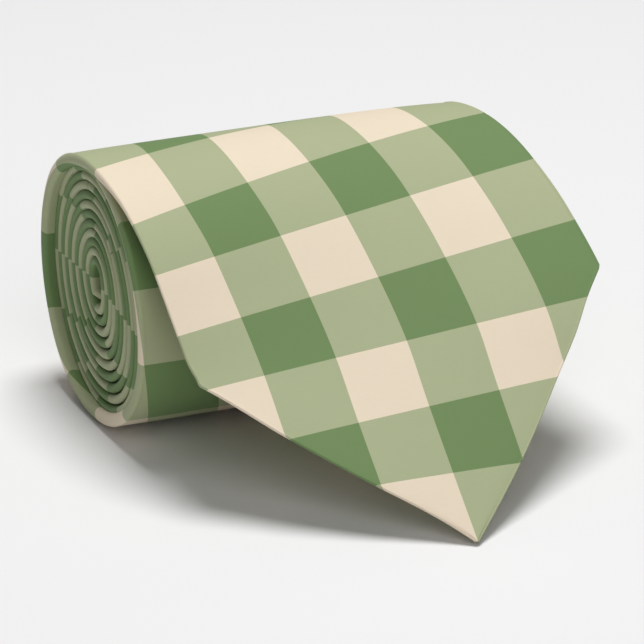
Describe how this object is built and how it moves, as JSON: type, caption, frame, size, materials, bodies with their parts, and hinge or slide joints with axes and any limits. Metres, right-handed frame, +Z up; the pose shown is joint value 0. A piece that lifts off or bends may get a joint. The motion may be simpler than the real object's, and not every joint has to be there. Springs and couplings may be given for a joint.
{
  "type": "necktie",
  "caption": "Rolled necktie in a green and cream check, its wide pointed blade sloping down off the roll to the table.",
  "frame": {"origin": "on the table, under the roll's axis and half way along the outer turn at its left-right middle", "axes": "+X along the roll's axis, to the right as the blade is looked at; +Y from the blade's point towards the roll; +Z up"},
  "size_m": [0.102, 0.127, 0.0637],
  "materials": {
    "check_cloth": "twill in a green and cream check, softly lustrous",
    "wool_interlining": "brushed, matte",
    "satin_tipping": "satin",
    "sewing_thread": "spun thread, soft lustre",
    "label_ribbon": "plain woven ribbon, blank"
  },
  "bodies": {
    "roll": {"blade_shell_rolled": "check_cloth", "neck_shell": "check_cloth", "tail_shell": "check_cloth", "keeper_loop": "check_cloth", "blade_interlining_rolled": "wool_interlining", "tail_interlining": "wool_interlining", "blade_tipping_rolled": "satin_tipping", "tail_tipping": "satin_tipping", "slip_stitch_thread": "sewing_thread", "blade_bar_tack": "sewing_thread", "tail_bar_tack": "sewing_thread", "blade_neck_seam_thread": "sewing_thread", "neck_tail_seam_thread": "sewing_thread", "care_label": "label_ribbon"},
    "blade_flap": {"blade_shell_free": "check_cloth", "blade_interlining_free": "wool_interlining", "blade_tipping_free": "satin_tipping"},
    "blade_tip": {"blade_shell_point": "check_cloth", "blade_interlining_point": "wool_interlining", "blade_tipping_point": "satin_tipping"}
  },
  "joints": [
    {"name": "blade_lift", "type": "hinge", "parent": "roll", "child": "blade_flap", "pos_m": [0, -0.01916, 0.05761], "axis": [-1, 0, 0], "range_deg": [0, 70]},
    {"name": "tip_curl", "type": "hinge", "parent": "blade_flap", "child": "blade_tip", "pos_m": [0, -0.05085, 0.03416], "axis": [-1, 0, 0], "range_deg": [0, 60]}
  ]
}
